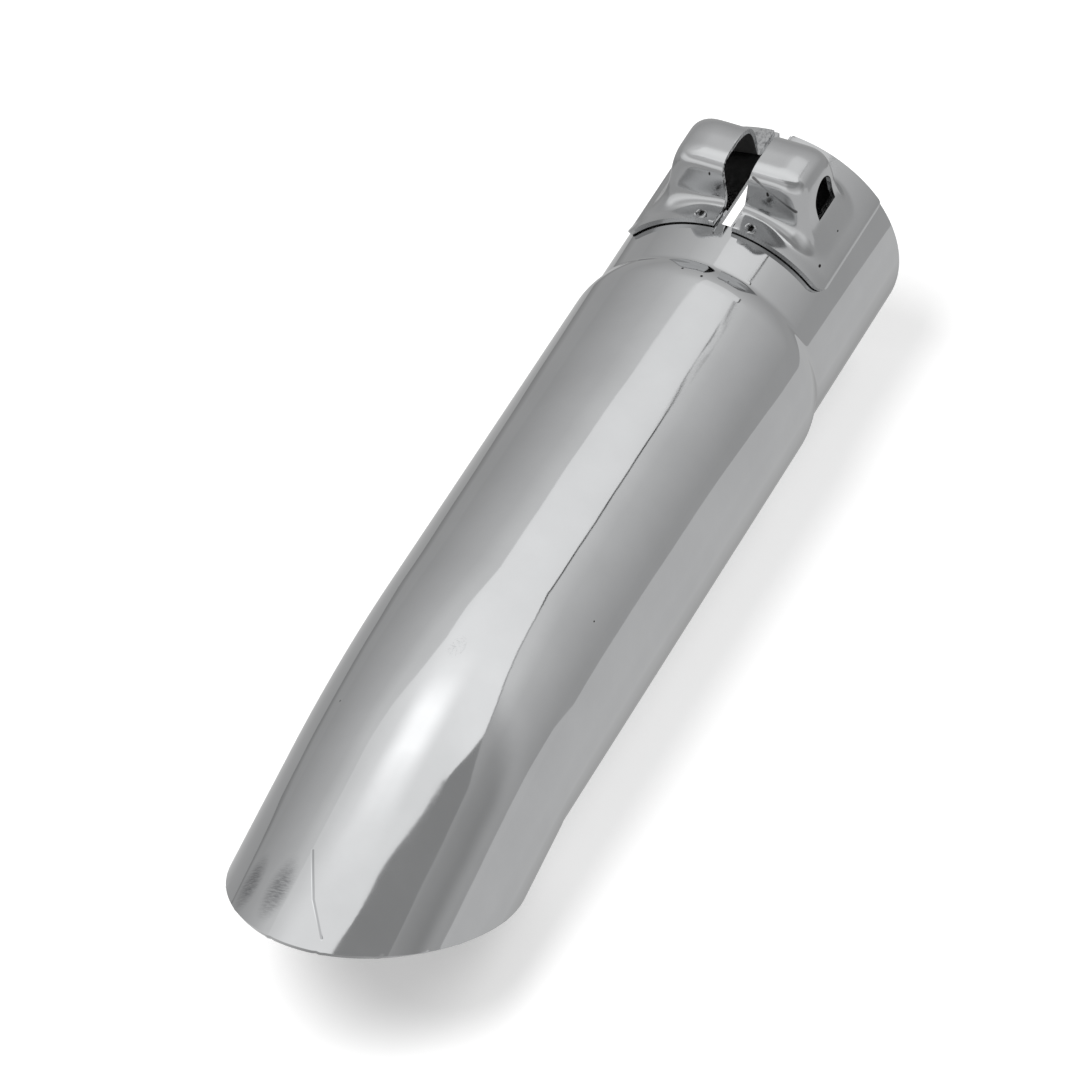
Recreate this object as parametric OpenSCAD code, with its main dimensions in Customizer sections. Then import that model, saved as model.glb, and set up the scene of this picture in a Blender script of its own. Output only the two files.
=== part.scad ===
// Slip-on exhaust tip: a slotted, swaged and turned-down tube with two stamped clamp ears.
// The origin is the centre of the inlet rim, +X runs along the straight tube to the outlet
// and +Z points up through the clamp slot.

/* [Pipe fit] */
// Outer diameter of the tailpipe that the collar slips over
pipe_d = 57.15; // [50:0.05:59]
// Gap between the tailpipe and the collar, on the radius
pipe_clearance = 0.45; // [0.2:0.05:1]

/* [Tube] */
// Sheet thickness of the tube
tube_wall = 1.2; // [0.8:0.1:2]
// Outer diameter of the body
body_d = 63.5; // [63:0.5:76]
// Length of the collar, from the inlet rim to the shoulder
collar_len = 50; // [40:1:60]
// Length of the shoulder that widens the collar to the body
shoulder_len = 7; // [4:0.5:25]
// Distance from the inlet rim to the start of the bend
straight_len = 162; // [120:1:200]

/* [Outlet] */
// Radius of the bend on the centre line of the tube
bend_r = 262; // [180:2:400]
// Distance from the inlet rim to where the slash cut crosses the straight axis
cut_x = 249.5; // [235:0.5:290]
// Angle of the slash cut away from a square cut across the straight tube
slash_angle = 66; // [30:1:68]

/* [Clamp slot] */
// Width of the slot in the top of the collar
slot_w = 2.7; // [1.5:0.1:4.4]
// Length of the slot from the inlet rim
slot_len = 35.2; // [25:0.2:37]

/* [Clamp ears] */
// Sheet thickness of the ears
ear_t = 1.2; // [0.8:0.1:2]
// Gap between the flanges of the two ears, across the slot
ear_gap = 4.8; // [4.4:0.1:7]
// Gap between the two ears at the crown of their humps
crown_gap = 7.4; // [5:0.2:12]
// Distance from the inlet rim to the ears
ear_setback = 0.8; // [0:0.1:1.2]
// Length of the ears along the tube
ear_len = 36; // [34:0.5:36.5]
// Angle from the slot to the side edge of an ear, round the collar
ear_angle = 55.5; // [50:0.5:80]
// Corner radius of an ear's flange on the outlet side
ear_front_r = 4.5; // [1:0.5:6]
// Corner radius of an ear's flange on the inlet side
ear_rear_r = 1.5; // [1:0.5:6]

/* [Ear hump] */
// Width of the hump along the tube
hump_w = 20.4; // [19:0.2:24]
// Distance from the inlet edge of the ear to the middle of the hump
hump_mid = 18.4; // [14:0.2:20]
// Height of the hump's crown above the collar
hump_h = 13.8; // [12:0.2:18]
// Distance from the slot's middle to the end wall of the hump
hump_reach = 18.9; // [17:0.1:22]
// Radius of the hump's arch, between its crown and its two long walls
arch_r = 9.8; // [5:0.2:10]
// Radius between the hump's crown and its end wall
end_r = 6.5; // [4:0.5:10]
// Radius of the hump's upright corners
corner_r = 5; // [3:0.5:9]

/* [Bolt hole] */
// Width of the bolt hole, which has an arched top and a flat bottom
bolt_hole_w = 9.3; // [7:0.1:11]
// Distance from the arch's centre down to the flat bottom
bolt_hole_drop = 4.2; // [1:0.1:6]
// Height of the arch's centre above the top of the collar
bolt_rise = 2.4; // [1:0.1:5]

/* [Hidden] */
$fn = 96;
past = 1; // how far a cutter runs past the face that it cuts
collar_r = pipe_d / 2 + pipe_clearance + tube_wall;
body_r = body_d / 2;
shoulder_rise = body_r - collar_r;
shoulder_steps = 10;
bend_sweep = 50; // the bend runs on past the slash cut, which ends it
cutter_size = 2 * (cut_x + body_d);
ear_r = collar_r + ear_t;
hump_x = ear_setback + hump_mid;
hump_top = collar_r + hump_h;
bolt_z = collar_r + bolt_rise;

// Shoulder radius at a distance along the shoulder, a curve that ends level with the body
function shoulder_r(s) = body_r - shoulder_rise * pow(1 - s / shoulder_len, 2);

// Half outline of the straight tube, radius against distance from the inlet rim
module straight_outline(inset, start) {
    shoulder = [
        for (i = [0 : shoulder_steps])
            let (s = shoulder_len * i / shoulder_steps)
            [shoulder_r(s) - inset, collar_len + s]
    ];
    polygon(concat(
        [[0, start], [collar_r - inset, start]],
        shoulder,
        [[body_r - inset, straight_len], [0, straight_len]]
    ));
}

// Solid tube from the inlet to past the slash cut, with its surface moved in by inset
module tube_form(inset, start) {
    rotate([0, 90, 0])
        rotate_extrude()
            straight_outline(inset, start);
    translate([straight_len, 0, -bend_r])
        rotate([-90, -90, 0])
            rotate_extrude(angle = bend_sweep)
                translate([bend_r, 0])
                    circle(body_r - inset);
}

// Everything beyond the slash cut
module beyond_slash() {
    translate([cut_x, 0, 0])
        rotate([0, slash_angle, 0])
            translate([0, -cutter_size / 2, -cutter_size / 2])
                cube(cutter_size);
}

// Slot through the top of the collar, open at the inlet rim
module slot_cut() {
    translate([-past, -slot_w / 2, 0])
        cube([slot_len + past, slot_w, collar_r + past]);
}

module tip_tube() {
    color([0.72, 0.73, 0.74])
        difference() {
            tube_form(0, 0);
            tube_form(tube_wall, -past);
            beyond_slash();
            slot_cut();
        }
}

// Rectangle with its two upper corners rounded
module arched_outline(width, top, r) {
    translate([-width / 2, 0])
        square([width, top - r]);
    translate([-width / 2 + r, 0])
        square([width - 2 * r, top]);
    for (side = [-1, 1])
        translate([side * (width / 2 - r), top - r])
            circle(r);
}

// Hump over the slot as a solid block, with its surface moved in by inset
module hump_form(inset) {
    width = hump_w - 2 * inset;
    reach = hump_reach - inset;
    top = hump_top - inset;
    intersection() {
        translate([hump_x, reach, 0])
            rotate([90, 0, 0])
                linear_extrude(reach)
                    arched_outline(width, top, arch_r - inset);
        translate([hump_x - width, 0, 0])
            rotate([90, 0, 90])
                linear_extrude(2 * width)
                    arched_outline(2 * reach, top, end_r - inset);
        translate([hump_x, 0, 0])
            linear_extrude(top)
                arched_outline(width, reach, corner_r - inset);
    }
}

// Part of the flange's outline with its one free corner, at the origin, rounded
module cornered_outline(length, r) {
    translate([0, -ear_r])
        square([length, ear_r - r]);
    translate([r, -ear_r])
        square([length - r, ear_r]);
    translate([r, -r])
        circle(r);
}

// Curved flange that lies on the collar beside the slot
module flange() {
    intersection() {
        translate([-past, 0, 0])
            rotate([0, 90, 0])
                cylinder(r = ear_r, h = collar_len + past);
        rotate([-ear_angle, 0, 0])
            linear_extrude(2 * ear_r) {
                translate([ear_setback, 0])
                    cornered_outline(hump_mid, ear_rear_r);
                translate([ear_setback + ear_len, 0])
                    mirror([1, 0])
                        cornered_outline(ear_len - hump_mid, ear_front_r);
            }
    }
}

// Arched bolt hole through the end wall of the hump, with a flat bottom
module bolt_hole() {
    translate([hump_x, hump_reach + past, bolt_z])
        rotate([90, 0, 0]) {
            cylinder(d = bolt_hole_w, h = ear_t + 2 * past);
            translate([-bolt_hole_w / 2, -bolt_hole_drop, 0])
                cube([bolt_hole_w, bolt_hole_drop, ear_t + 2 * past]);
        }
}

// Space between the ears, wider between the humps than between the flanges
module gap_cut() {
    translate([-past, 0, 0])
        rotate([90, 0, 90])
            linear_extrude(collar_len)
                polygon([
                    [-hump_top, 0],
                    [ear_gap / 2, 0],
                    [ear_gap / 2, ear_r],
                    [crown_gap / 2, hump_top],
                    [crown_gap / 2, hump_top + past],
                    [-hump_top, hump_top + past]
                ]);
}

// One stamped ear on the +Y side of the slot
module ear() {
    difference() {
        union() {
            flange();
            hump_form(0);
        }
        rotate([0, 90, 0])
            cylinder(r = collar_r, h = collar_len);
        hump_form(ear_t);
        gap_cut();
        bolt_hole();
    }
}

module clamp_ear_left() {
    color([0.66, 0.67, 0.68])
        mirror([0, 1, 0])
            ear();
}

module clamp_ear_right() {
    color([0.66, 0.67, 0.68])
        ear();
}

tip_tube();
clamp_ear_left();
clamp_ear_right();
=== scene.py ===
# Slip-on exhaust tip in decorative chrome: a swaged and turned-down tube with two stamped clamp ears.
# The tables give sizes in millimetres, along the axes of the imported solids: +X runs along the tube
# from the centre of its inlet rim, +Z points up through the clamp slot.
import math

import bpy
import numpy as np
from mathutils import Matrix, Vector


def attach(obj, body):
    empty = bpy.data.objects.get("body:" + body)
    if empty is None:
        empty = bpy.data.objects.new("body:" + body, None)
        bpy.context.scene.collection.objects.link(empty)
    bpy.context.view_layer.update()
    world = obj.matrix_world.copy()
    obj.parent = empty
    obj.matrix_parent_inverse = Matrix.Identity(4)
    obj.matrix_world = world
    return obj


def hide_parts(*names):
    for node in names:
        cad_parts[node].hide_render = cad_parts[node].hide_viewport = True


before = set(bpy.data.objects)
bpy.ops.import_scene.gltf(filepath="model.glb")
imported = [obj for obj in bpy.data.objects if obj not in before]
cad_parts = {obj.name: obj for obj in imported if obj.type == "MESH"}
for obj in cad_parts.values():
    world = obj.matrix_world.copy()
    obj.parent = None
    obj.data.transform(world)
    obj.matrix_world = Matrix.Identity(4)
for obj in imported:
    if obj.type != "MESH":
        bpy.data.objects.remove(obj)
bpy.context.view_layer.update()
mm = 0.001
print("frame loaded:", sorted(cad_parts))


def linearColour(hexText):
    parts = [int(hexText[i:i + 2], 16) / 255 for i in (1, 3, 5)]
    return [p / 12.92 if p <= 0.04045 else ((p + 0.055) / 1.055) ** 2.4 for p in parts] + [1.0]


def addNode(tree, kind, values=None, links=None, **settings):
    # one node with its settings, its input values and what feeds its inputs
    node = tree.nodes.new(kind)
    for name, value in settings.items():
        setattr(node, name, value)
    for socket, value in (values or {}).items():
        node.inputs[socket].default_value = value
    for socket, source in (links or {}).items():
        tree.links.new(source, node.inputs[socket])
    return node


def newMaterial(name):
    material = bpy.data.materials.new(name)
    material.use_nodes = True
    material.node_tree.nodes.clear()
    return material, material.node_tree


def selectOnly(piece):
    if bpy.context.object and bpy.context.object.mode != "OBJECT":
        bpy.ops.object.mode_set(mode="OBJECT")
    bpy.ops.object.select_all(action="DESELECT")
    piece.select_set(True)
    bpy.context.view_layer.objects.active = piece


def applyModifier(piece, kind, **settings):
    selectOnly(piece)
    modifier = piece.modifiers.new(kind.lower(), kind)
    for name, value in settings.items():
        setattr(modifier, name, value)
    bpy.ops.object.modifier_apply(modifier=modifier.name)


def readPoints(piece):
    points = np.empty(len(piece.data.vertices) * 3)
    piece.data.vertices.foreach_get("co", points)
    return points.reshape(-1, 3) / mm


def writePoints(piece, points):
    piece.data.vertices.foreach_set("co", (points * mm).ravel())
    piece.data.update()


def smoothBetween(low, high, value):
    t = np.clip((value - low) / (high - low), 0.0, 1.0)
    return t * t * (3 - 2 * t)


# Tube: rings are extruded from the inlet rim, spun round the bend and cut off at the slash
tube = {
    "segments": 208,
    "collarRadius": 30.225,
    "bodyRadius": 31.75,
    "wall": 1.2,
    "shoulderStart": 50.0,
    "shoulderEnd": 57.0,
    "fineFrom": 46.0,        # the rings stand closer over the shoulder
    "fineTo": 60.0,
    "fineStep": 0.4,
    "bendStart": 162.8,
    "bendRadius": 219.9,
    "bendAngle": 13.3,       # degrees
    "bendSteps": 36,
    "tailLength": 62.0,
    "tailCuts": 30,
    "kinkX": 193.6,          # where the crease's plane crosses the straight axis
    "slashX": 248.5,
    "slashAngle": 64.06,     # degrees from a square cut
    "slotWidth": 2.7,
    "slotLength": 35.2,
    "rimBevel": 0.18,
    # polishing waves: height, length along x over 2 pi, turns round the tube, and the two phases
    "waves": [(0.030, 17.0, 2, 1.3, 0.4), (0.016, 7.3, 3, 0.5, -1.1), (0.010, 4.1, 5, 2.2, 0.9)],
    "wavesSetIn": (58, 75),
}


def shoulderRadius(x):
    rise = tube["bodyRadius"] - tube["collarRadius"]
    u = np.clip((x - tube["shoulderStart"]) / (tube["shoulderEnd"] - tube["shoulderStart"]), 0, 1)
    return tube["bodyRadius"] - rise * (1 - u) ** 2


def softShoulderRadius(x):
    # the shoulder's curve with its crease rounded over about 2 mm
    spread = np.linspace(-1.1, 1.1, 23)
    weights = 1 - (spread / 1.25) ** 2
    return float((shoulderRadius(x + spread) * weights).sum() / weights.sum())


def makeTubeShell():
    # the half outline is drawn point by point and turned round the axis, its last ring spun round the bend
    bpy.ops.mesh.primitive_plane_add(size=1 * mm, location=(0, 0, tube["collarRadius"] * mm))
    shell = bpy.context.object
    shell.name = "ChromedTube"
    bpy.ops.object.transform_apply(location=True, rotation=True, scale=True)
    bpy.ops.object.mode_set(mode="EDIT")
    bpy.ops.mesh.select_all(action="SELECT")
    bpy.ops.mesh.merge(type="CENTER")
    fineFrom, fineTo, fineStep = tube["fineFrom"], tube["fineTo"], tube["fineStep"]
    stations = list(np.linspace(0, tube["slotLength"], 23)[1:])
    stations += list(np.linspace(tube["slotLength"], fineFrom, 8)[1:])
    stations += list(np.arange(fineFrom + fineStep, fineTo + 0.01, fineStep))
    stations += list(np.linspace(fineTo, tube["bendStart"], 41)[1:])
    lastX, lastRadius = 0.0, tube["collarRadius"]
    for x in stations:
        radius = tube["bodyRadius"] if x > fineTo - 0.1 else softShoulderRadius(x)
        bpy.ops.mesh.extrude_region_move(
            TRANSFORM_OT_translate={"value": ((x - lastX) * mm, 0, (radius - lastRadius) * mm)})
        lastX, lastRadius = x, radius
    bpy.ops.mesh.select_all(action="SELECT")
    bpy.ops.mesh.spin(steps=tube["segments"], angle=2 * math.pi, center=(0, 0, 0), axis=(1, 0, 0))
    bpy.ops.mesh.select_all(action="SELECT")
    bpy.ops.mesh.remove_doubles(threshold=0.002 * mm)
    selectEdges(shell, lambda a, b: min(a.x, b.x) > (tube["bendStart"] - 0.01) * mm)
    bpy.ops.mesh.spin(steps=tube["bendSteps"], angle=math.radians(tube["bendAngle"]),
                      center=(tube["bendStart"] * mm, 0, -tube["bendRadius"] * mm), axis=(0, -1, 0))
    turn = math.radians(tube["bendAngle"])
    along = Vector((math.cos(turn), 0, -math.sin(turn)))
    bpy.ops.mesh.extrude_region_move(TRANSFORM_OT_translate={"value": along * tube["tailLength"] * mm})
    selectEdges(shell, lambda a, b: (a - b).length > 0.9 * tube["tailLength"] * mm)
    bpy.ops.mesh.subdivide(number_cuts=tube["tailCuts"])
    bpy.ops.mesh.select_all(action="SELECT")
    bpy.ops.mesh.normals_make_consistent(inside=False)
    bpy.ops.object.mode_set(mode="OBJECT")
    return shell


def selectEdges(piece, wanted):
    # picks edges by their two ends, and leaves the piece in edit mode
    bpy.ops.object.mode_set(mode="EDIT")
    bpy.ops.mesh.select_mode(type="EDGE")
    bpy.ops.mesh.select_all(action="DESELECT")
    bpy.ops.object.mode_set(mode="OBJECT")
    points = piece.data.vertices
    for edge in piece.data.edges:
        edge.select = wanted(points[edge.vertices[0]].co, points[edge.vertices[1]].co)
    bpy.ops.object.mode_set(mode="EDIT")


def pressKink(points):
    # the inner side of the bend meets in a faint crease, where a mitred tube would
    half = math.radians(tube["bendAngle"] / 2)
    x, y, z = points.T
    before = x + z * math.tan(half) < tube["kinkX"]
    turn = 2 * half
    # distance below the axis of the straight leg, or of the tail leg
    tailZ = (x - tube["kinkX"]) * math.sin(turn) + z * math.cos(turn)
    legZ = np.where(before, z, tailZ)
    legRadius = np.hypot(y, legZ)
    over = np.maximum(legRadius - tube["bodyRadius"], 0)
    inward = np.stack([np.where(before, 0, math.sin(turn)) * legZ, y,
                       np.where(before, 1, math.cos(turn)) * legZ], 1)
    inward /= np.maximum(np.linalg.norm(inward, axis=1, keepdims=True), 1e-9)
    near = (x > tube["bendStart"] - 1) & (z < 5)
    return points - inward * (over * near)[:, None]


def pressWaves(points):
    # bending and polishing leave the tube a few hundredths of a millimetre out of true
    x, y, z = points.T
    around = np.arctan2(y, z)
    radial = np.stack([np.zeros_like(x), np.sin(around), np.cos(around)], 1)
    wave = sum(height * np.sin(x / length + along) * np.cos(turns * around + across)
               for height, length, turns, along, across in tube["waves"])
    wave *= smoothBetween(*tube["wavesSetIn"], x)
    return points + radial * wave[:, None]


def cutTube(shell):
    selectOnly(shell)
    bpy.ops.object.mode_set(mode="EDIT")
    bpy.ops.mesh.select_all(action="SELECT")
    slash = math.radians(tube["slashAngle"])
    bpy.ops.mesh.bisect(plane_co=(tube["slashX"] * mm, 0, 0),
                        plane_no=(math.cos(slash), 0, -math.sin(slash)), clear_outer=True)
    for side in (-1, 1):
        selectFaces(shell, lambda c, n: c.x < tube["slotLength"] * mm and c.z > 0 and abs(c.y) < 3 * mm)
        bpy.ops.mesh.bisect(plane_co=(0, side * tube["slotWidth"] / 2 * mm, 0), plane_no=(0, 1, 0))
    selectFaces(shell, lambda c, n: c.x < tube["slotLength"] * mm and c.z > 0
                and abs(c.y) < tube["slotWidth"] / 2 * mm)
    bpy.ops.mesh.delete(type="FACE")
    bpy.ops.object.mode_set(mode="OBJECT")


def selectFaces(piece, wanted):
    # picks faces by centre and normal, and leaves the piece in edit mode
    bpy.ops.object.mode_set(mode="EDIT")
    bpy.ops.mesh.select_mode(type="FACE")
    bpy.ops.mesh.select_all(action="DESELECT")
    bpy.ops.object.mode_set(mode="OBJECT")
    for face in piece.data.polygons:
        face.select = wanted(face.center, face.normal)
    bpy.ops.object.mode_set(mode="EDIT")


def turnOutward(piece, outwardAt):
    # flips the whole sheet if it faces inwards at the given point
    nearest = min(piece.data.polygons, key=lambda f: (f.center - outwardAt[0]).length)
    if nearest.normal.dot(outwardAt[1]) < 0:
        selectOnly(piece)
        bpy.ops.object.mode_set(mode="EDIT")
        bpy.ops.mesh.select_all(action="SELECT")
        bpy.ops.mesh.flip_normals()
        bpy.ops.object.mode_set(mode="OBJECT")


def makeTube():
    shell = makeTubeShell()
    writePoints(shell, pressWaves(pressKink(readPoints(shell))))
    cutTube(shell)
    turnOutward(shell, (Vector((0.1, 0.03175, 0)), Vector((0, 1, 0))))
    shell.data.materials.append(finishes["tube"])
    shell.data.materials.append(finishes["inside"])
    applyModifier(shell, "SOLIDIFY", thickness=tube["wall"] * mm, offset=-1, use_even_offset=True,
                  material_offset=1, material_offset_rim=0)
    applyModifier(shell, "BEVEL", width=tube["rimBevel"] * mm, segments=2, limit_method="ANGLE",
                  angle_limit=math.radians(55))
    # below the bevel's 30 degrees, so that the rim doesn't bend the light on the body beside it
    bpy.ops.object.shade_smooth_by_angle(angle=math.radians(22))
    return shell


# Ears: a sheet blank is pressed over a form, a curved flange with a hump, and then gets its thickness
ear = {
    "acrossTube": 84,        # columns and rows of the blank
    "alongTube": 96,
    "relaxTurns": 450,
    "sheet": 1.2,
    "flangeRadius": 31.425,
    "rearX": 0.8,
    "frontX": 36.8,
    "sideAngle": 55.5,       # degrees from the slot to the flange's side edge
    "frontCorner": 4.5,
    "rearCorner": 1.5,
    "slotEdge": 2.4,         # half the gap at the flange
    "slotSplay": 0.11,       # how much the cut edges part for each millimetre above the level
    "splayLevel": 31.4,
    "crownX": 20.7,          # the arch is full on the inlet side and tighter on the outlet side
    "crownTop": 44.45,
    "rearHalf": 11.4,
    "rearArch": 11.2,
    "frontHalf": 9.4,
    "frontArch": 5.9,
    "humpReach": 18.9,
    "endRadius": 8.4,
    "cornerLow": 2.6,        # the upright corners are sharper at the foot than at the top
    "cornerHigh": 7.0,
    "cornerSpan": (29, 41),
    "crownRound": 4.0,       # between the arch and the end wall
    "wallRound": 2.6,
    "filletSlot": 2.7,       # the foot runs out wider away from the slot
    "filletEnd": 6.0,
    "filletSpan": (7, 17),
    "endLean": 0.085,        # the end wall leans in, for each millimetre above the level
    "leanLevel": 32.6,
    "frontLift": 0.35,       # the front edge stands off the collar
    "liftLength": 5.0,
    "edgeRoll": 0.38,
    "rollWidth": 1.3,
    "holeWidth": 9.3,
    "holeCentre": 32.6,
    "holeFloor": 28.4,
    "holeX": 18.4,
    "rimBevel": 0.16,
}


def roundedBelow(across, up, halfWidth, top, radius):
    # distance to a wide upright form with its two upper corners rounded
    dx = np.abs(across) - (halfWidth - radius)
    dz = up - (top - radius)
    return np.hypot(np.maximum(dx, 0), np.maximum(dz, 0)) + np.minimum(np.maximum(dx, dz), 0) - radius


def roundUnion(a, b, radius):
    return (np.maximum(np.minimum(a, b), radius)
            - np.hypot(np.maximum(radius - a, 0), np.maximum(radius - b, 0)))


def roundMeet(a, b, radius):
    return (np.minimum(np.maximum(a, b), -radius)
            + np.hypot(np.maximum(radius + a, 0), np.maximum(radius + b, 0)))


def pressForm(points):
    # distance from the outer surface of the right ear
    x, y, z = points.T
    lift = ear["frontLift"] * smoothBetween(ear["frontX"] - ear["liftLength"], ear["frontX"], x)
    flange = np.hypot(y, z) - ear["flangeRadius"] - lift
    reach = y + ear["endLean"] * (z - ear["leanLevel"])
    across = x - ear["crownX"]
    ahead = across > 0
    halfWidth = np.where(ahead, ear["frontHalf"], ear["rearHalf"])
    archRadius = np.where(ahead, ear["frontArch"], ear["rearArch"])
    arch = roundedBelow(across, z, halfWidth, ear["crownTop"], archRadius)
    end = roundedBelow(reach, z, ear["humpReach"], ear["crownTop"], ear["endRadius"])
    corner = ear["cornerLow"] + (ear["cornerHigh"] - ear["cornerLow"]) * smoothBetween(*ear["cornerSpan"], z)
    middle = (ear["frontHalf"] - ear["rearHalf"]) / 2
    half = (ear["frontHalf"] + ear["rearHalf"]) / 2
    plan = roundedBelow(across - middle, reach, half, ear["humpReach"], corner)
    hump = roundMeet(roundMeet(arch, end, ear["crownRound"]), plan, ear["wallRound"])
    fillet = ear["filletSlot"] + (ear["filletEnd"] - ear["filletSlot"]) * smoothBetween(*ear["filletSpan"], y)
    return roundUnion(flange, hump, fillet)


def outlineForm(points):
    # distance from the flange's outline, along the tube and round it
    x, y, z = points.T
    arc = ear["flangeRadius"] * (np.arctan2(y, z) - math.radians(ear["sideAngle"]))
    middle = (ear["frontX"] + ear["rearX"]) / 2
    half = (ear["frontX"] - ear["rearX"]) / 2
    radius = np.where(x > middle, ear["frontCorner"], ear["rearCorner"])
    dx = np.abs(x - middle) - (half - radius)
    dy = arc + radius
    return np.hypot(np.maximum(dx, 0), np.maximum(dy, 0)) + np.minimum(np.maximum(dx, dy), 0) - radius


def slotForm(points):
    return points[:, 1] - ear["slotEdge"] - ear["slotSplay"] * (points[:, 2] - ear["splayLevel"])


def settle(points, form):
    # moves points onto the surface where the form is zero
    step = 1e-3
    value = form(points)
    slope = np.stack([(form(points + step * axis) - form(points - step * axis)) / (2 * step)
                      for axis in np.eye(3)], 1)
    size = np.maximum((slope ** 2).sum(1), 0.05)
    return points - np.clip(value / size, -1.0, 1.0)[:, None] * slope


def relaxedSheet():
    rows, columns = ear["alongTube"], ear["acrossTube"]
    x = np.linspace(ear["rearX"], ear["frontX"], rows)[:, None] + np.zeros((1, columns))
    slotAngle = math.asin(ear["slotEdge"] / ear["flangeRadius"])
    angle = np.linspace(slotAngle, math.radians(ear["sideAngle"]), columns)[None, :] + np.zeros((rows, 1))
    out = np.full_like(x, ear["flangeRadius"])
    for _ in range(40):  # blow the sheet up onto the form
        ball = np.stack([x, out * np.sin(angle), out * np.cos(angle)], -1).reshape(-1, 3)
        out -= np.clip(pressForm(ball).reshape(x.shape), -0.6, 0.6)
        out = np.maximum(out, ear["flangeRadius"])
    sheet = np.stack([x, out * np.sin(angle), out * np.cos(angle)], -1)
    for _ in range(ear["relaxTurns"]):
        near = [np.roll(sheet, shift, axis) for shift, axis in ((1, 0), (-1, 0), (1, 1), (-1, 1))]
        lengths = [np.linalg.norm(n - sheet, axis=-1, keepdims=True) + 1e-6 for n in near]
        total = sum(lengths)
        moved = sum(n * w for n, w in zip(near, lengths)) / total
        alongX = (near[0] * lengths[0] + near[1] * lengths[1]) / (lengths[0] + lengths[1])
        aroundX = (near[2] * lengths[2] + near[3] * lengths[3]) / (lengths[2] + lengths[3])
        moved[:, 0], moved[:, -1] = alongX[:, 0], alongX[:, -1]
        moved[0, :], moved[-1, :] = aroundX[0, :], aroundX[-1, :]
        for corner in ((0, 0), (0, -1), (-1, 0), (-1, -1)):
            moved[corner] = sheet[corner]
        sheet = sheet + 0.55 * (moved - sheet)
        flat = settle(sheet.reshape(-1, 3), pressForm)
        sheet = flat.reshape(sheet.shape)
        for edge in (np.s_[0, :], np.s_[-1, :], np.s_[:, -1]):
            sheet[edge] = settle(sheet[edge], outlineForm)
        sheet[:, 0] = settle(sheet[:, 0], slotForm)
    for _ in range(6):
        sheet = settle(sheet.reshape(-1, 3), pressForm).reshape(sheet.shape)
        sheet[:, 0] = settle(sheet[:, 0], slotForm)
    return sheet


def makeEar(name, side, sheet):
    bpy.ops.mesh.primitive_grid_add(x_subdivisions=ear["alongTube"] - 1, y_subdivisions=ear["acrossTube"] - 1,
                                    size=30 * mm)
    piece = bpy.context.object
    piece.name = name
    blank = readPoints(piece)
    order = np.lexsort((blank[:, 1].round(4), blank[:, 0].round(4)))
    points = np.empty_like(blank)
    points[order] = sheet.reshape(-1, 3) * np.array([1, side, 1])
    writePoints(piece, points)
    turnOutward(piece, (Vector((0.0346, side * 0.018, 0.026)), Vector((0, side * 0.5, 0.8))))
    piece.data.materials.append(finishes["ear"])
    piece.data.materials.append(finishes["inside"])
    applyModifier(piece, "SOLIDIFY", thickness=ear["sheet"] * mm, offset=-1, use_even_offset=False,
                  material_offset=1, material_offset_rim=0)
    applyModifier(piece, "BEVEL", width=ear["rimBevel"] * mm, segments=2, limit_method="ANGLE",
                  angle_limit=math.radians(60))
    cutBoltHole(piece, side)
    writePoints(piece, rollEdge(readPoints(piece)))
    selectOnly(piece)
    bpy.ops.object.shade_smooth_by_angle(angle=math.radians(40))
    addWeld(piece, side)
    return piece


def rollEdge(points):
    # blanking rolls the outer face down a little at the side edge
    x, y, z = points.T
    arc = ear["flangeRadius"] * (np.arctan2(np.abs(y), z) - math.radians(ear["sideAngle"]))
    radius = np.hypot(y, z)
    outer = np.clip(1 + (radius - ear["flangeRadius"]) / ear["sheet"], 0, 1)
    roll = ear["edgeRoll"] * outer * np.clip(1 + arc / ear["rollWidth"], 0, 1) ** 2
    return points * np.stack([np.ones_like(x), 1 - roll / radius, 1 - roll / radius], 1)


def cutBoltHole(piece, side):
    # an arch over a flat: a cylinder and a block, joined and taken out of the end wall
    radius, depth = ear["holeWidth"] / 2, 10.0
    centreY = side * (ear["humpReach"] - 1)
    bpy.ops.mesh.primitive_cylinder_add(vertices=64, radius=radius * mm, depth=depth * mm,
                                        location=(ear["holeX"] * mm, centreY * mm, ear["holeCentre"] * mm),
                                        rotation=(math.pi / 2, 0, 0))
    punch = bpy.context.object
    bpy.ops.object.transform_apply(location=True, rotation=True, scale=True)
    bpy.ops.object.mode_set(mode="EDIT")
    bpy.ops.mesh.select_all(action="SELECT")
    bpy.ops.mesh.bisect(plane_co=(0, 0, ear["holeCentre"] * mm), plane_no=(0, 0, -1), clear_outer=True,
                        use_fill=True)
    bpy.ops.mesh.extrude_region_move(
        TRANSFORM_OT_translate={"value": (0, 0, (ear["holeFloor"] - ear["holeCentre"]) * mm)})
    bpy.ops.mesh.select_all(action="SELECT")
    bpy.ops.mesh.normals_make_consistent(inside=False)
    bpy.ops.object.mode_set(mode="OBJECT")
    applyModifier(piece, "BOOLEAN", operation="DIFFERENCE", object=punch, solver="EXACT")
    bpy.data.objects.remove(punch)


def smoothProduct(tree, steps, total=None):
    # the product of smooth steps, each as a value, its low and high end, and what it gives at these
    for value, low, high, atLow, atHigh in steps:
        step = addNode(tree, "ShaderNodeMapRange", {"From Min": low, "From Max": high, "To Min": atLow,
                                                    "To Max": atHigh}, {"Value": value},
                       interpolation_type="SMOOTHSTEP").outputs["Result"]
        total = step if total is None else addNode(tree, "ShaderNodeMath", operation="MULTIPLY",
                                                   links={0: total, 1: step}).outputs[0]
    return total


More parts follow.
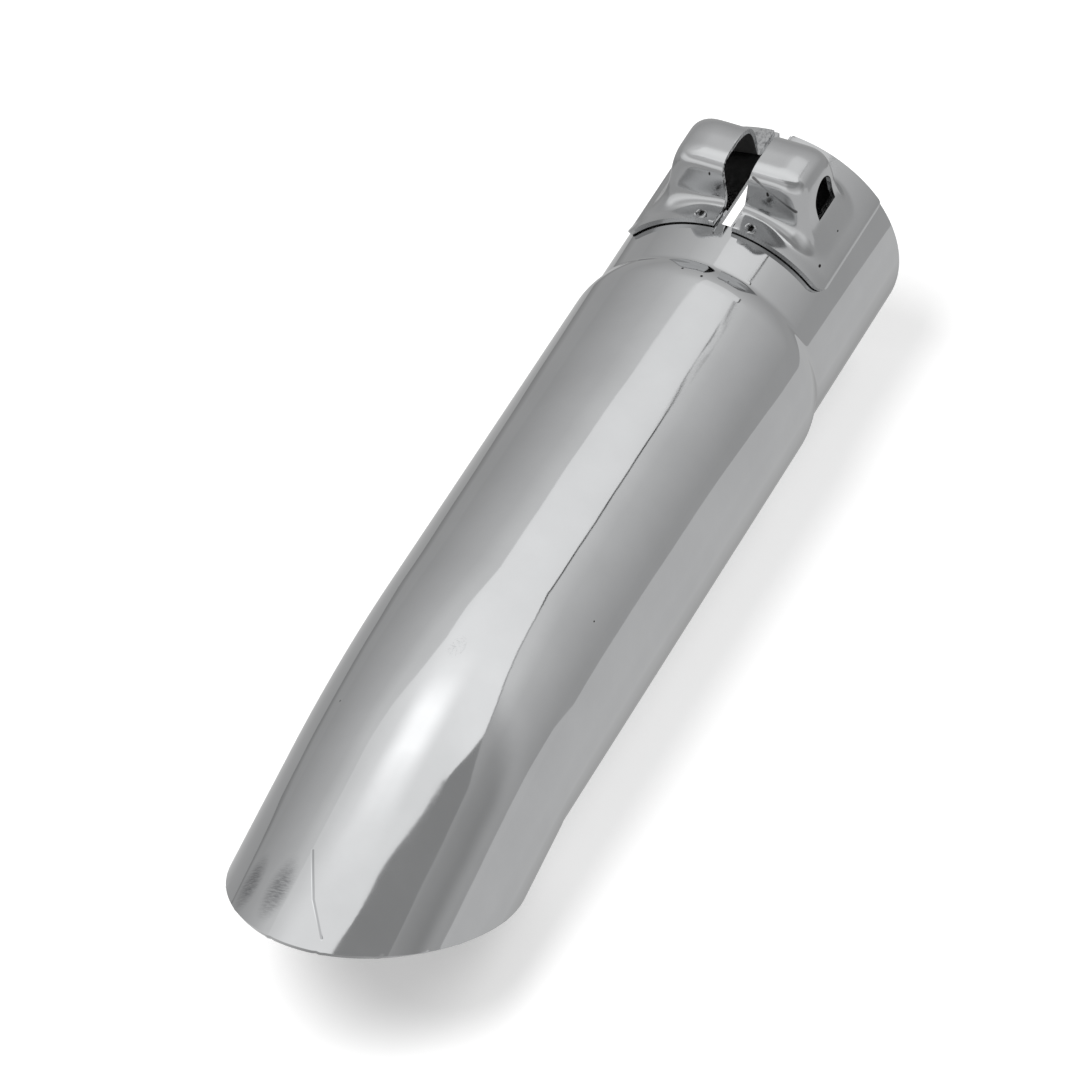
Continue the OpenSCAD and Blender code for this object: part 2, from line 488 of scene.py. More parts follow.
def spotMask(tree, where, centre, halfSizes, softness):
    # 1 inside an ellipse of the given half sizes, in the units of where, fading to 0 at its edge
    offset = addNode(tree, "ShaderNodeVectorMath", operation="SUBTRACT", values={1: centre}, links={0: where})
    scaled = addNode(tree, "ShaderNodeVectorMath", operation="DIVIDE", values={1: halfSizes},
                     links={0: offset.outputs[0]})
    size = addNode(tree, "ShaderNodeVectorMath", operation="LENGTH", links={0: scaled.outputs[0]})
    return smoothProduct(tree, [(size.outputs["Value"], 1 - softness, 1, 1, 0)])


def lineMask(tree, where, start, end, halfWidth):
    # 1 along a straight stroke from start to end, fading to 0 at its sides
    along = Vector(end) - Vector(start)
    offset = addNode(tree, "ShaderNodeVectorMath", operation="SUBTRACT", values={1: start}, links={0: where})
    share = addNode(tree, "ShaderNodeVectorMath", operation="DOT_PRODUCT",
                    values={1: along / along.length_squared}, links={0: offset.outputs[0]})
    held = addNode(tree, "ShaderNodeClamp", links={"Value": share.outputs["Value"]})
    foot = addNode(tree, "ShaderNodeVectorMath", operation="SCALE", values={0: along},
                   links={"Scale": held.outputs[0]})
    away = addNode(tree, "ShaderNodeVectorMath", operation="DISTANCE",
                   links={0: offset.outputs[0], 1: foot.outputs[0]})
    return smoothProduct(tree, [(away.outputs["Value"], 0.3 * halfWidth, halfWidth, 1, 0)])


def combine(tree, operation, masks):
    # several masks joined into one by the same operation, held between 0 and 1
    total = masks[0]
    for mask in masks[1:]:
        total = addNode(tree, "ShaderNodeMath", operation=operation, use_clamp=True,
                        links={0: total, 1: mask}).outputs[0]
    return total


def allSpots(tree, where, spots, softness):
    return combine(tree, "ADD", [spotMask(tree, where, centre, sizes, softness) for centre, sizes in spots])


# Decorative chrome: copper and nickel under a thin bright chrome, polished lengthwise, a touch grey in tone
plating = {
    "tubeColour": "#C2C3C4",
    "earColour": "#BDBEBF",
    "smudgeColour": "#77787A",
    "pitColour": "#2C2B2A",
    "tubeRoughness": (0.035, 0.065),
    "earRoughness": (0.13, 0.20),
    "hazePerMetre": 55.0,        # patches of haze about 18 mm wide
    "hazeTint": (0.97, 1.03),
    "ripplePerMetre": 420.0,     # polishing ripple, 2.4 mm from crest to crest
    "rippleStretch": (0.35, 1.0, 1.0),
    "rippleHeight": 0.0000035,   # metres
    "markDepth": 0.00004,        # metres
    # marks on the tube: distance along its middle line and distance round it from the top, in mm
    "smudges": [((255.5, -9.6, 0), (10.5, 4.0, 1)), ((254.5, -18.2, 0), (9.5, 3.6, 1))],
    "scuffs": [((186.2, 1.9, 0), (3.4, 2.2, 1))],
    "pits": [((161.6, 26.1, 0), (0.34, 0.26, 1)), ((55.0, 2.7, 0), (0.5, 0.4, 1)),
             ((54.2, -2.6, 0), (0.45, 0.35, 1)), ((203.5, -20.5, 0), (0.3, 0.25, 1))],
    "dent": [(244.0, -6.1, 0), (256.0, -0.3, 0), (264.5, 5.6, 0)],
    "dentHalfWidth": 0.42,
}


def polishedChrome(name, colour, roughness):
    # the plate common to tube and ears; gives the tree, its shader, and the sockets that marks work on
    material, tree = newMaterial(name)
    where = addNode(tree, "ShaderNodeTexCoord").outputs["Object"]
    haze = addNode(tree, "ShaderNodeTexNoise", {"Scale": plating["hazePerMetre"], "Detail": 5.0,
                                                "Roughness": 0.6}, {"Vector": where})
    rough, tint = [addNode(tree, "ShaderNodeMapRange", {"From Min": 0.3, "From Max": 0.7, "To Min": low,
                                                        "To Max": high}, {"Value": haze.outputs["Fac"]})
                   for low, high in (roughness, plating["hazeTint"])]
    base = addNode(tree, "ShaderNodeVectorMath", operation="SCALE", values={0: linearColour(colour)[:3]},
                   links={"Scale": tint.outputs["Result"]})
    stretched = addNode(tree, "ShaderNodeMapping", {"Scale": plating["rippleStretch"]}, {"Vector": where})
    ripple = addNode(tree, "ShaderNodeTexNoise", {"Scale": plating["ripplePerMetre"], "Detail": 2.0},
                     {"Vector": stretched.outputs["Vector"]})
    shader = addNode(tree, "ShaderNodeBsdfPrincipled", {"Metallic": 1.0})
    addNode(tree, "ShaderNodeOutputMaterial", links={"Surface": shader.outputs["BSDF"]})
    return material, tree, where, shader, rough.outputs["Result"], base.outputs[0], ripple.outputs["Fac"]


def finishPlate(tree, shader, rough, base, ripple, marks, dull, relief):
    # marks take the plate's colour towards a tone, dull adds roughness, relief raises or dents it
    colour = base
    for mask, share, tone in marks:
        weight = addNode(tree, "ShaderNodeMath", operation="MULTIPLY", links={0: mask}, values={1: share})
        colour = addNode(tree, "ShaderNodeMix", data_type="RGBA", links={0: weight.outputs[0], 6: colour},
                         values={7: linearColour(plating[tone])}).outputs[2]
    tree.links.new(colour, shader.inputs["Base Color"])
    height = addNode(tree, "ShaderNodeValue").outputs[0]
    height.default_value = 0.0
    for mask, amount in dull:
        rough = addNode(tree, "ShaderNodeMath", operation="MULTIPLY_ADD", values={1: amount},
                        links={0: mask, 2: rough}).outputs[0]
    tree.links.new(rough, shader.inputs["Roughness"])
    for mask, amount in relief:
        height = addNode(tree, "ShaderNodeMath", operation="MULTIPLY_ADD", values={1: amount},
                         links={0: mask, 2: height}).outputs[0]
    fine = addNode(tree, "ShaderNodeBump", {"Strength": 1.0, "Distance": plating["rippleHeight"]},
                   {"Height": ripple})
    deep = addNode(tree, "ShaderNodeBump", {"Strength": 1.0, "Distance": plating["markDepth"]},
                   {"Height": height, "Normal": fine.outputs["Normal"]})
    tree.links.new(deep.outputs["Normal"], shader.inputs["Normal"])


def brokenUp(tree, where, scale, detail, roughness, low, high):
    # noise with hard edges, to break up the outline of a mark
    grain = addNode(tree, "ShaderNodeTexNoise", {"Scale": scale, "Detail": detail, "Roughness": roughness},
                    {"Vector": where})
    return addNode(tree, "ShaderNodeMapRange", {"From Min": low, "From Max": high},
                   {"Value": grain.outputs["Fac"]}).outputs["Result"]


def tubePlate():
    material, tree, where, shader, rough, base, ripple = polishedChrome(
        "decorative chrome plate on the tube", plating["tubeColour"], plating["tubeRoughness"])
    place = addNode(tree, "ShaderNodeAttribute", attribute_name="alongAndRound").outputs["Vector"]
    # dull smudges near the outlet, broken up into short strokes across the tube
    strokes = addNode(tree, "ShaderNodeMapping", {"Scale": (2.4, 0.5, 1.0), "Rotation": (0, 0, 0.25)},
                      {"Vector": place})
    broken = brokenUp(tree, strokes.outputs["Vector"], 1.0, 6.0, 0.7, 0.38, 0.62)
    soft = addNode(tree, "ShaderNodeMapRange", {"To Min": 0.35, "To Max": 1.0}, {"Value": broken})
    area = allSpots(tree, place, plating["smudges"], 0.8)
    smudge = combine(tree, "MULTIPLY", [area, soft.outputs["Result"]])
    scuff = combine(tree, "MULTIPLY", [allSpots(tree, place, plating["scuffs"], 0.5),
                                       brokenUp(tree, place, 1.3, 5.0, 0.75, 0.5, 0.62)])
    pits = allSpots(tree, place, plating["pits"], 0.4)
    dent = combine(tree, "MAXIMUM", [lineMask(tree, place, start, end, plating["dentHalfWidth"])
                                     for start, end in zip(plating["dent"], plating["dent"][1:])])
    finishPlate(tree, shader, rough, base, ripple,
                marks=[(smudge, 0.85, "smudgeColour"), (scuff, 0.3, "smudgeColour"),
                       (dent, 0.45, "smudgeColour"), (pits, 1.0, "pitColour")],
                dull=[(area, 0.10), (scuff, 0.15)], relief=[(dent, -1.0), (pits, -0.8)])
    return material


# Ears: the plate over deep-drawn sheet is duller, and the spot welds and the tool left marks, placed in mm
earMarks = {
    "scratch": ((28.7, 4.4, 41.6), (29.1, 15.6, 35.0)),
    "scratchHalfWidth": 0.6,
    "pits": [((34.78, 6.44, 30.99), (1.5, 0.75, 1.5)), ((29.34, 8.41, 38.14), (0.84, 0.42, 0.84)),
             ((30.88, 22.64, 21.79), (0.68, 0.34, 0.68)), ((18.8, 22.04, 22.71), (0.4, 0.2, 0.4)),
             ((29.3, -6.71, 39.3), (0.6, 0.3, 0.6)), ((34.32, -6.5, 30.92), (1.4, 0.7, 1.4))],
    "scald": [((35.2, -6.7, 30.7), (2.2, 2.2, 1.4)), ((35.2, 6.6, 30.8), (1.6, 2.4, 1.2))],
    "roughPatch": ((4.0, -4.2, 31.2), (4.0, 3.6, 1.5)),
}


def earPlate():
    material, tree, where, shader, rough, base, ripple = polishedChrome(
        "chrome plate on the stamped ears", plating["earColour"], plating["earRoughness"])
    place = addNode(tree, "ShaderNodeVectorMath", operation="SCALE", links={0: where},
                    values={"Scale": 1000.0}).outputs[0]
    pits = allSpots(tree, place, earMarks["pits"], 0.4)
    scratch = lineMask(tree, place, *earMarks["scratch"], earMarks["scratchHalfWidth"])
    broken = brokenUp(tree, place, 1.1, 5.0, 0.7, 0.42, 0.6)
    patch = combine(tree, "MULTIPLY", [spotMask(tree, place, *earMarks["roughPatch"], 0.3), broken])
    scald = combine(tree, "MULTIPLY", [allSpots(tree, place, earMarks["scald"], 0.7), broken])
    # drawing lines, where the sheet slid over the tool: fine strokes down the hump's walls
    drawn = addNode(tree, "ShaderNodeMapping", {"Scale": (0.25, 2.6, 0.25)}, {"Vector": place})
    lines = addNode(tree, "ShaderNodeTexNoise", {"Scale": 0.9, "Detail": 3.0},
                    {"Vector": drawn.outputs["Vector"]})
    finishPlate(tree, shader, rough, base, ripple,
                marks=[(patch, 0.7, "smudgeColour"), (scald, 0.6, "smudgeColour"),
                       (scratch, 0.8, "pitColour"), (pits, 1.0, "pitColour")],
                dull=[(patch, 0.35), (scald, 0.2)],
                relief=[(lines.outputs["Fac"], 0.10), (scratch, -0.8), (pits, -1.0)])
    return material


bareSteel = {
    "darkColour": "#565656",
    "lightColour": "#666564",
    "stainPerMetre": 90.0,       # stains about 11 mm wide
}


def bareInside():
    # mill scale: the plating bath doesn't reach inside, so the steel stays dark and dull
    material, tree = newMaterial("mill scale inside")
    where = addNode(tree, "ShaderNodeTexCoord").outputs["Object"]
    stain = addNode(tree, "ShaderNodeTexNoise", {"Scale": bareSteel["stainPerMetre"], "Detail": 6.0,
                                                 "Roughness": 0.65}, {"Vector": where})
    ramp = addNode(tree, "ShaderNodeValToRGB", links={"Fac": stain.outputs["Fac"]})
    for element, place, tone in zip(ramp.color_ramp.elements, (0.35, 0.68), ("darkColour", "lightColour")):
        element.position, element.color = place, linearColour(bareSteel[tone])
    rough = addNode(tree, "ShaderNodeMapRange", {"From Min": 0.3, "From Max": 0.7, "To Min": 0.5,
                                                 "To Max": 0.68}, {"Value": stain.outputs["Fac"]})
    shader = addNode(tree, "ShaderNodeBsdfPrincipled", {"Specular IOR Level": 0.2},
                     {"Base Color": ramp.outputs["Color"], "Roughness": rough.outputs["Result"]})
    addNode(tree, "ShaderNodeOutputMaterial", links={"Surface": shader.outputs["BSDF"]})
    return material


def storePlaces(piece):
    # distance along the tube's middle line and round it from the top, in mm, for marks that follow the bend
    x, y, z = readPoints(piece).T
    start, radius, sweep = tube["bendStart"], tube["bendRadius"], math.radians(tube["bendAngle"])
    angle = np.clip(np.arctan2(x - start, z + radius), 0, sweep)
    centreX = start + radius * np.sin(angle)
    centreZ = -radius * (1 - np.cos(angle))
    along = (x - centreX) * np.cos(angle) - (z - centreZ) * np.sin(angle)
    upward = (x - centreX) * np.sin(angle) + (z - centreZ) * np.cos(angle)
    distance = np.where(x < start, x, start + radius * angle + along)
    places = np.stack([distance, np.arctan2(y, upward) * tube["bodyRadius"], np.zeros_like(x)], 1)
    layer = piece.data.attributes.new("alongAndRound", "FLOAT_VECTOR", "POINT")
    layer.data.foreach_set("vector", places.ravel())


welds = {
    "ringRadius": 1.35,
    "ringThickness": 0.30,
    "places": {-1: (34.6, -6.5, 30.9), 1: (34.9, 6.45, 30.95)},  # on the front edge of each flange
}


def addWeld(piece, side):
    # the raised broken rim round a spot weld's pit, pressed into the flange
    x, y, z = welds["places"][side]
    lean = math.atan2(y, z)
    bpy.ops.mesh.primitive_torus_add(major_segments=40, minor_segments=12, rotation=(-lean, 0, 0),
                                     major_radius=welds["ringRadius"] * mm,
                                     minor_radius=welds["ringThickness"] * mm,
                                     location=(x * mm, y * mm, z * mm))
    rim = bpy.context.object
    bpy.ops.object.transform_apply(location=True, rotation=True, scale=True)
    points = readPoints(rim)
    outward = np.array([0, math.sin(lean), math.cos(lean)])
    turn = np.arctan2(points[:, 1] - y, points[:, 0] - x)
    rise = 0.32 * np.sin(2 * turn + 0.7 * side) + 0.14 * np.sin(5 * turn + 1.0)
    spread = 0.12 * np.sin(3 * turn + side)
    writePoints(rim, points + rise[:, None] * outward + spread[:, None] * (points - (x, y, z)))
    selectOnly(rim)
    bpy.ops.object.shade_smooth()
    rim.data.materials.append(finishes["ear"])
    piece.select_set(True)
    bpy.context.view_layer.objects.active = piece
    bpy.ops.object.join()


finishes = {"tube": tubePlate(), "ear": earPlate(), "inside": bareInside()}
tubePiece = makeTube()
storePlaces(tubePiece)
print("tube made:", len(tubePiece.data.polygons), "faces")
sheet = relaxedSheet()
print("sheet pressed, crown at", round(float(sheet[..., 2].max()), 2), "mm")
earPieces = [makeEar("ChromedEarLeft", -1, sheet), makeEar("ChromedEarRight", 1, sheet)]
print("ears made:", [len(p.data.polygons) for p in earPieces], "faces")

for piece, node, slot in ((tubePiece, "tip_tube", "chromed_tube"),
                          (earPieces[0], "clamp_ear_left", "chromed_ears"),
                          (earPieces[1], "clamp_ear_right", "chromed_ears")):
    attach(piece, "root")
    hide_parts(node)

# Studio: a pale floor that the camera sees, and cards and a softbox that only the chrome mirrors, in metres
studio = {
    "middle": (0.13, 0.0, 0.0),
    "floorLevel": -0.0318,
    "floorColour": "#F2F2F2",
    "floorLift": 0.42,       # what the camera and the chrome see of the floor beyond its lit white
    "domeRadius": 3.0,
    # brightness of the surroundings against elevation in degrees
    "domeTones": [(-20, 0.48), (4, 0.49), (12, 0.54), (23, 0.62), (35, 0.72), (44, 0.88), (52, 0.94),
                  (70, 0.62)],
    "frontTone": 0.80,       # the camera's side of the dome is this much darker high up
    "frontLow": 1.90,        # and this much lighter low down
    # painted shade: the dome's glow is darker by this share in a corner of the room
    "cornerShadeTone": 0.60,      # a darker corner of the room on the right, over the outlet's end
    "softboxHeight": 0.9,
    # the edges of the softbox over the tube, in shares of its height, and its corners past the outlet
    "softboxLeft": [(-1.32, -0.19), (-0.995, -0.217), (-0.983, -0.2), (-0.974, -0.235), (-0.955, -0.31),
                    (-0.915, -0.349), (-0.872, -0.376), (-0.801, -0.389), (-0.672, -0.472),
                    (-0.536, -0.487), (-0.437, -0.592), (-0.358, -0.739), (-0.268, -0.815),
                    (-0.228, -0.835), (0.2, -0.82)],
    "softboxFar": [(0.15, -0.35), (0.02, 0.0), (-0.07, 0.23), (-0.106, 0.316), (-0.143, 0.405),
                   (-0.168, 0.473), (-0.198, 0.561), (-0.304, 0.688)],
    "seam": [(-1.32, 0.48), (-1.077, 0.476), (-1.05, 0.455), (-1.03, 0.43), (-1.012, 0.385),
             (-1.017, 0.454), (-1.039, 0.55), (-0.98, 0.397), (-0.974, 0.43), (-0.966, 0.48),
             (-0.936, 0.467), (-0.906, 0.48), (-0.821, 0.454), (-0.62, 0.539), (-0.514, 0.63),
             (-0.41, 0.782)],
    "seamWidth": 0.028,
    "seamSlant": (-0.36, 0.93),   # the tube's round direction, as the softbox's plane sees it
    "seamRagged": 0.007,
    "seamStep": 0.0035,
    # brightness of the cloth and of its seam along the tube, in shares too; the seam fades out over the bend
    "clothTones": [(-1.30, 0.98), (-1.0, 1.07), (-0.97, 1.13), (-0.87, 1.20), (-0.80, 1.24), (-0.50, 1.32),
                   (-0.35, 1.30), (-0.20, 1.22), (0.15, 1.20)],
    "seamTones": [(-1.367, 0.10), (-0.80, 0.12), (-0.72, 0.62), (-0.41, 0.50)],
    # the lamp behind the cloth: where its glow hangs, its outline round that, and its brightness against x
    "hotSpot": (0.136, -0.04, 0.3),
    "spotOutline": [(-0.12, -0.11), (0.07, -0.11), (0.07, 0.11), (-0.12, 0.11)],
    "spotTones": [(0.03, 0.0), (0.07, 0.12), (0.112, 0.58), (0.148, 0.60), (0.162, 0.32), (0.178, 0.06),
                  (0.195, 0.0)],
    # the wall of grey card round the far side, as x, y and the height of its top in metres
    "darkCard": [(-0.3, -1.3, 0.03), (-0.015, -0.541, 0.03), (0.107, -0.244, 0.03), (0.06, -0.233, 0.03),
                 (0.042, -0.2, 0.03), (0.047, -0.168, 0.03), (0.03, -0.154, 0.03), (0.014, -0.147, 0.03),
                 (0.006, -0.131, 0.03), (-0.004, -0.117, 0.03), (-0.022, -0.103, 0.03),
                 (-0.035, -0.095, 0.03), (-0.12, 0.05, 0.03), (-0.1, 0.13, 0.03), (-0.084, 0.19, 0.03),
                 (-0.123, 0.266, 0.03), (-0.183, 0.362, 0.03), (-0.204, 0.412, 0.03), (-0.235, 0.479, 0.03),
                 (-0.29, 0.70, 0.03)],
    "paleCard": [(-0.29, 0.70, -0.028), (-0.245, 0.70, 0.035), (-0.177, 0.70, 0.06), (-0.118, 0.70, 0.062),
                 (-0.101, 0.70, 0.045), (-0.085, 0.70, 0.028), (1.2, 0.70, 0.028)],
    "darkCardTone": 0.50,
    # painted shade: on the left the dark card is drawn darker towards the floor
    "darkCardFootShade": [(-0.0318, 0.29), (-0.020, 0.36), (-0.006, 0.46), (0.03, 0.49)],  # on the left, against z
    "paleCardTone": 0.72,
    "carpetTone": 0.50,
    # the sheet of paper's other corners, and its brightness against y, with the tube's shadow painted in:
    # darkest from y 0 to 0.029, under the tube
    "paperCorners": [(-0.29, 0.70), (2.0, 0.70), (2.0, -0.9), (0.3, -0.9)],
    "paperTonesWithPaintedShadow": [(-0.12, 0.49), (-0.10, 0.50), (-0.08, 0.53), (-0.062, 0.56), (-0.048, 0.62),
                   (-0.035, 0.68), (0.0, 0.42), (0.029, 0.42), (0.036, 0.53), (0.047, 0.66), (0.08, 0.71)],
    "shade": [(-0.41, 0.782), (-0.37, 1.0), (-0.36, 1.2), (-0.2, 1.35), (0.3, 1.2), (0.5, 0.3),
              (0.35, -0.3)],
    "shadeTone": 0.37,
    # the two lamps: name, place, size in metres and power in watts
    "lamps": [("KeyLamp", (0.9, -0.5, 1.7), 1.1, 26), ("FillLamp", (-0.9, 1.1, 1.9), 1.6, 14)],
}


def onlyMirrored(piece):
    for ray in ("camera", "diffuse", "shadow", "volume_scatter", "transmission"):
        setattr(piece, "visible_" + ray, False)


def glowMaterial(name):
    material, tree = newMaterial(name)
    material.cycles.emission_sampling = "NONE"
    return material, tree


def seenDirectly(tree):
    # 1 for the rays of the camera and for those that metal or glass sends on
    path = addNode(tree, "ShaderNodeLightPath")
    either = addNode(tree, "ShaderNodeMath", operation="MAXIMUM", links={
        0: path.outputs["Is Camera Ray"], 1: path.outputs["Is Glossy Ray"]})
    return addNode(tree, "ShaderNodeMath", operation="MAXIMUM", links={
        0: either.outputs[0], 1: path.outputs["Is Transmission Ray"]}).outputs[0]


def toneRamp(tree, factor, stops, low, high):
    # a ramp over low..high whose stops give brightness, up to 2
    share = addNode(tree, "ShaderNodeMapRange", {"From Min": low, "From Max": high}, {"Value": factor})
    ramp = addNode(tree, "ShaderNodeValToRGB", links={"Fac": share.outputs["Result"]})
    elements = ramp.color_ramp.elements
    elements.remove(elements[1])
    for i, (place, tone) in enumerate(stops):
        position = (place - low) / (high - low)
        element = elements.new(position) if i else elements[0]
        element.position = position
        element.color = (tone / 2, tone / 2, tone / 2, 1)
    return addNode(tree, "ShaderNodeMath", operation="MULTIPLY", values={1: 2.0},
                   links={0: ramp.outputs["Color"]}).outputs[0]


def makeFloor():
    bpy.ops.mesh.primitive_plane_add(size=14, location=(studio["middle"][0], 0, studio["floorLevel"]))
    floor = bpy.context.object
    floor.name = "PaleFloor"
    material, tree = newMaterial("white paper floor")
    paper = addNode(tree, "ShaderNodeBsdfDiffuse", {"Color": linearColour(studio["floorColour"])})
    lift = addNode(tree, "ShaderNodeMath", operation="MULTIPLY", values={1: studio["floorLift"]},
                   links={0: seenDirectly(tree)})
    glow = addNode(tree, "ShaderNodeEmission", links={"Strength": lift.outputs[0]})
    both = addNode(tree, "ShaderNodeAddShader", links={0: paper.outputs[0], 1: glow.outputs[0]})
    addNode(tree, "ShaderNodeOutputMaterial", links={"Surface": both.outputs[0]})
    floor.data.materials.append(material)


def makeDome():
    bpy.ops.mesh.primitive_uv_sphere_add(segments=64, ring_count=32, radius=studio["domeRadius"],
                                         location=studio["middle"])
    dome = bpy.context.object
    dome.name = "StudioDome"
    bpy.ops.object.shade_smooth()
    material, tree = glowMaterial("studio dome")
    place = addNode(tree, "ShaderNodeTexCoord")
    unit = addNode(tree, "ShaderNodeVectorMath", operation="NORMALIZE", links={0: place.outputs["Object"]})
    parts = addNode(tree, "ShaderNodeSeparateXYZ", links={0: unit.outputs[0]})
    elevation = addNode(tree, "ShaderNodeMath", operation="ARCSINE", links={0: parts.outputs["Z"]})
    degrees = addNode(tree, "ShaderNodeMath", operation="DEGREES", links={0: elevation.outputs[0]})
    tone = toneRamp(tree, degrees.outputs[0], studio["domeTones"], -20, 90)
    x, y = parts.outputs["X"], parts.outputs["Y"]
    low = smoothProduct(tree, [(degrees.outputs[0], 18, 40, studio["frontLow"], studio["frontTone"])])
    ahead = smoothProduct(tree, [(x, -0.2, 0.4, 0, 1)])
    front = addNode(tree, "ShaderNodeMix", data_type="FLOAT", links={0: ahead, 3: low}, values={2: 1.0})
    # painted shade in the room's corner on the right, over the outlet's end
    corner = smoothProduct(tree, [(degrees.outputs[0], 0, 24, 0, 1), (x, -0.47, -0.32, 0, 1),
                                  (y, 0.05, 0.4, 0, 1)])
    lit = addNode(tree, "ShaderNodeMath", operation="MULTIPLY", links={0: tone, 1: front.outputs[0]})
    total = smoothProduct(tree, [(y, -0.8, 0.8, 0.98, 1.04), (corner, 0, 1, 1.0, studio["cornerShadeTone"])],
                          lit.outputs[0])
    glow = addNode(tree, "ShaderNodeEmission", links={"Strength": total})
    addNode(tree, "ShaderNodeOutputMaterial", links={"Surface": glow.outputs[0]})
    dome.data.materials.append(material)
    onlyMirrored(dome)


def overTube(shares):
    # points of the softbox's plane in metres, from shares of its height
    height, middleX = studio["softboxHeight"], studio["middle"][0]
    return [(middleX + x * height, y * height) for x, y in shares]


def flatPanel(name, outline, level):
    bpy.ops.mesh.primitive_circle_add(vertices=len(outline), radius=1, fill_type="NGON")
    panel = bpy.context.object
    panel.name = name
    for vertex, (x, y) in zip(panel.data.vertices, outline):
        vertex.co = (x, y, level)
    onlyMirrored(panel)
    return panel


def paint(panel, name, strength, tone=1.0, seeThrough=False):
    # an emission, with a plain tone or one that strength works out; a see-through one adds to what is behind
    material, tree = glowMaterial(name)
    place = addNode(tree, "ShaderNodeTexCoord")
    parts = addNode(tree, "ShaderNodeSeparateXYZ", links={0: place.outputs["Object"]})
    glow = addNode(tree, "ShaderNodeEmission", {"Strength": tone})
    if strength:
        tree.links.new(strength(tree, parts), glow.inputs["Strength"])
    surface = glow.outputs[0]
    if seeThrough:
        clear = addNode(tree, "ShaderNodeBsdfTransparent")
        surface = addNode(tree, "ShaderNodeAddShader", links={0: clear.outputs[0], 1: surface}).outputs[0]
    addNode(tree, "ShaderNodeOutputMaterial", links={"Surface": surface})
    panel.data.materials.append(material)


def ribbon(name, edges):
    # a strip of faces between two lines of points in metres
    bpy.ops.mesh.primitive_grid_add(x_subdivisions=len(edges[0]) - 1, y_subdivisions=1, size=1)
    strip = bpy.context.object
    strip.name = name
    order = sorted(strip.data.vertices, key=lambda v: (round(v.co.y, 4), v.co.x))
    for vertex, point in zip(order, list(edges[0]) + list(edges[1])):
        vertex.co = point
    onlyMirrored(strip)
    return strip


def toneAlongSoftbox(tree, parts, shares, low, high):
    # a ramp along the tube, with its places in shares of the softbox's height
    height, middleX = studio["softboxHeight"], studio["middle"][0]
    stops = [(middleX + share * height, tone) for share, tone in shares]
    return toneRamp(tree, parts.outputs["X"], stops, middleX + low * height, middleX + high * height)


def makeSoftbox():
    height = studio["softboxHeight"]
    outline = studio["softboxLeft"] + studio["softboxFar"] + studio["seam"][::-1]
    paint(flatPanel("Softbox", overTube(outline), height), "softbox cloth", lambda tree, parts: smoothProduct(
        tree, [(parts.outputs["Y"], -0.85 * height, -0.3 * height, 0.80, 1.0)],
        toneAlongSoftbox(tree, parts, studio["clothTones"], -1.35, 0.2)))

    # the ragged dark seam along its right edge
    path = np.array(studio["seam"])
    steps = np.concatenate([[0], np.cumsum(np.hypot(*np.diff(path, axis=0).T))])
    places = np.arange(0, steps[-1], studio["seamStep"])
    line = np.stack([np.interp(places, steps, path[:, 0]), np.interp(places, steps, path[:, 1])], 1)
    ragged = np.random.default_rng(7).uniform(-1, 1, len(line)) * studio["seamRagged"]
    slant = np.array(studio["seamSlant"])
    line += ragged[:, None] * slant
    edges = [[(x, y, height - 0.01) for x, y in overTube(line + side * studio["seamWidth"] / 2 * slant)]
             for side in (-1, 1)]
    paint(ribbon("SoftboxSeam", edges), "softbox seam",
          lambda tree, parts: toneAlongSoftbox(tree, parts, studio["seamTones"], -1.367, -0.40))

    shade = flatPanel("FrontShade", overTube(studio["shade"] + studio["softboxFar"]), height + 0.01)
    paint(shade, "dark card over the outlet", None, tone=studio["shadeTone"])

    # the lamp behind the cloth shows as a soft hot spot
    spotX, spotY, spotZ = studio["hotSpot"]
    spot = flatPanel("HotSpot", [(spotX + x, spotY + y) for x, y in studio["spotOutline"]], spotZ)
    paint(spot, "hot spot of the softbox", lambda tree, parts: smoothProduct(
        tree, [(parts.outputs["Y"], spotY - 0.10, spotY - 0.01, 0, 1),
               (parts.outputs["Y"], spotY + 0.02, spotY + 0.10, 1, 0)],
        toneRamp(tree, parts.outputs["X"], studio["spotTones"], 0.0, 0.2)), seeThrough=True)


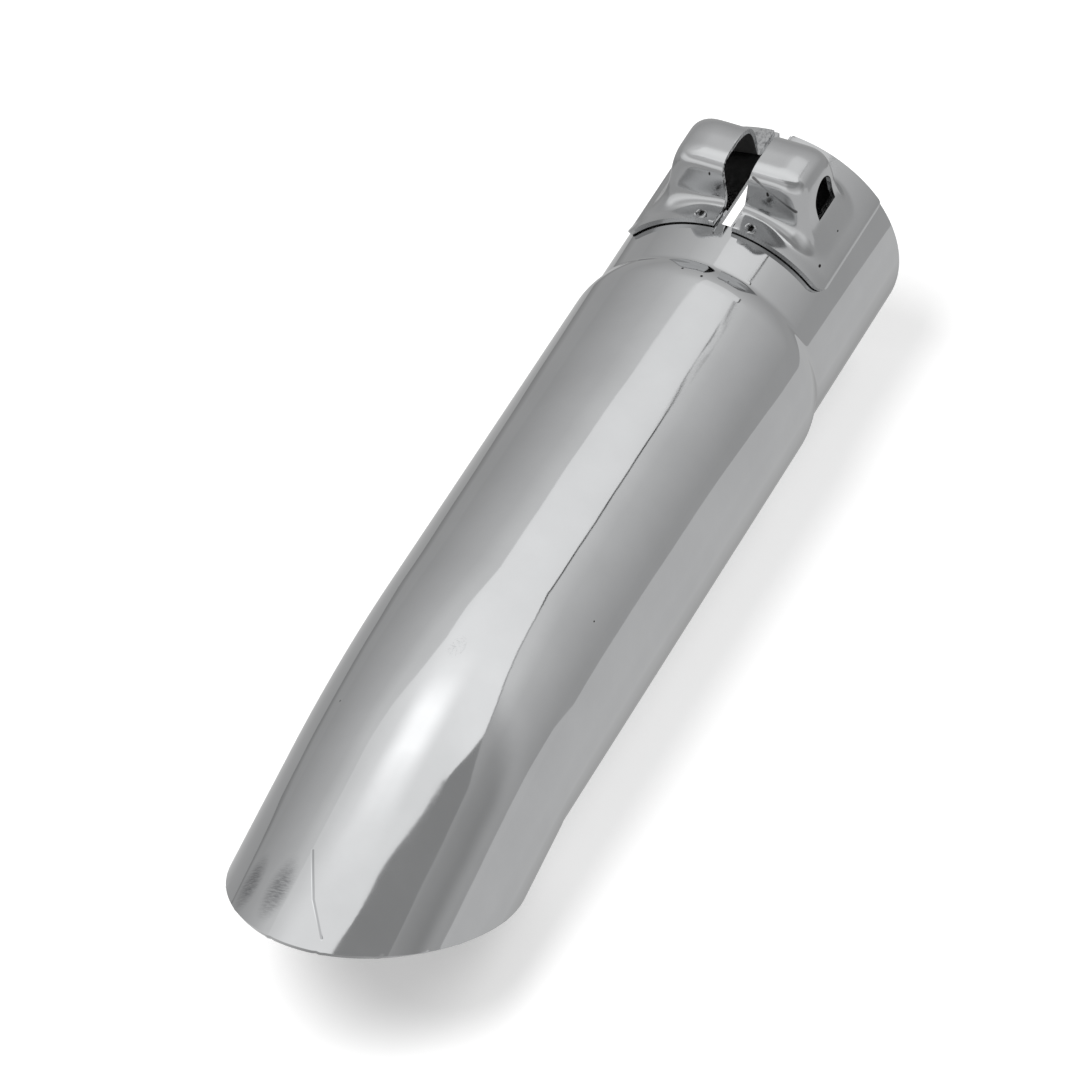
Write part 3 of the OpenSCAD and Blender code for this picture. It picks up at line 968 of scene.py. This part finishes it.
def makeCards():
    level = studio["floorLevel"] + 0.0004

    def darkToneWithPaintedShade(tree, parts):
        # painted shade: darker where it meets the floor on the left
        low = toneRamp(tree, parts.outputs["Z"], studio["darkCardFootShade"], -0.0318, 0.03)
        share = smoothProduct(tree, [(parts.outputs["Y"], 0.0, 0.15, 0, 1)])
        return addNode(tree, "ShaderNodeMix", data_type="FLOAT", links={0: share, 2: low},
                       values={3: studio["darkCardTone"]}).outputs[0]

    for name, wall, tone in (("DarkCard", studio["darkCard"], darkToneWithPaintedShade),
                             ("PaleCard", studio["paleCard"], None)):
        edges = [[(x, y, level) for x, y, top in wall], [(x, y, top) for x, y, top in wall]]
        paint(ribbon(name, edges), "grey " + name, tone, tone=studio["paleCardTone"])

    # the studio's grey floor beyond the cards, and a sheet of paper under the tube, inside the cards, with
    # the tube's shadow painted on it
    reach = 2.9
    carpet = flatPanel("GreyFloor", [(-reach, -reach), (reach, -reach), (reach, reach), (-reach, reach)],
                       level - 0.0002)
    paint(carpet, "grey studio floor", None, tone=studio["carpetTone"])
    outline = [(x, y) for x, y, top in studio["darkCard"]] + studio["paperCorners"]
    # the paper's brightness across the tube is a painted shadow of the tube, which the chrome mirrors
    paint(flatPanel("PaperWithPaintedShadow", outline, level), "paper under the tube, with the tube's painted shadow",
          lambda tree, parts: toneRamp(tree, parts.outputs["Y"], studio["paperTonesWithPaintedShadow"], -0.12, 0.08))


def addLamp(name, place, size, watts):
    data = bpy.data.lights.new(name, "AREA")
    data.shape, data.size, data.energy = "DISK", size, watts
    lamp = bpy.data.objects.new(name, data)
    bpy.context.scene.collection.objects.link(lamp)
    lamp.location = place
    lamp.rotation_euler = (Vector(studio["middle"]) - Vector(place)).to_track_quat("-Z", "Y").to_euler()
    lamp.visible_glossy = False


makeFloor()
makeDome()
makeSoftbox()
makeCards()
for lamp in studio["lamps"]:
    addLamp(*lamp)

# Camera, at the photograph's viewing angle
cameraData = bpy.data.cameras.new("Camera")
camera = bpy.data.objects.new("Camera", cameraData)
bpy.context.scene.collection.objects.link(camera)
right = Vector((-0.4179, 0.9084, -0.0140)).normalized()
back = Vector((0.6463, 0.3081, 0.6982)).normalized()
up = back.cross(right).normalized()
turned = Matrix((right, up, back)).transposed().to_4x4()
camera.matrix_world = Matrix.Translation((1.63556, 0.71257, 1.63472)) @ turned
cameraData.sensor_width = 36
cameraData.lens = 333.33
cameraData.clip_end = 50
bpy.context.scene.camera = camera

# World: white to the camera and in the chrome, plain grey light on everything else
world = bpy.data.worlds.new("Studio")
bpy.context.scene.world = world
world.use_nodes = True
tree = world.node_tree
tree.nodes.clear()
strength = addNode(tree, "ShaderNodeMapRange", {"To Min": 0.35, "To Max": 1.0}, {"Value": seenDirectly(tree)})
sky = addNode(tree, "ShaderNodeBackground", links={"Strength": strength.outputs["Result"]})
addNode(tree, "ShaderNodeOutputWorld", links={"Surface": sky.outputs[0]})

bpy.context.scene.view_settings.view_transform = "Standard"
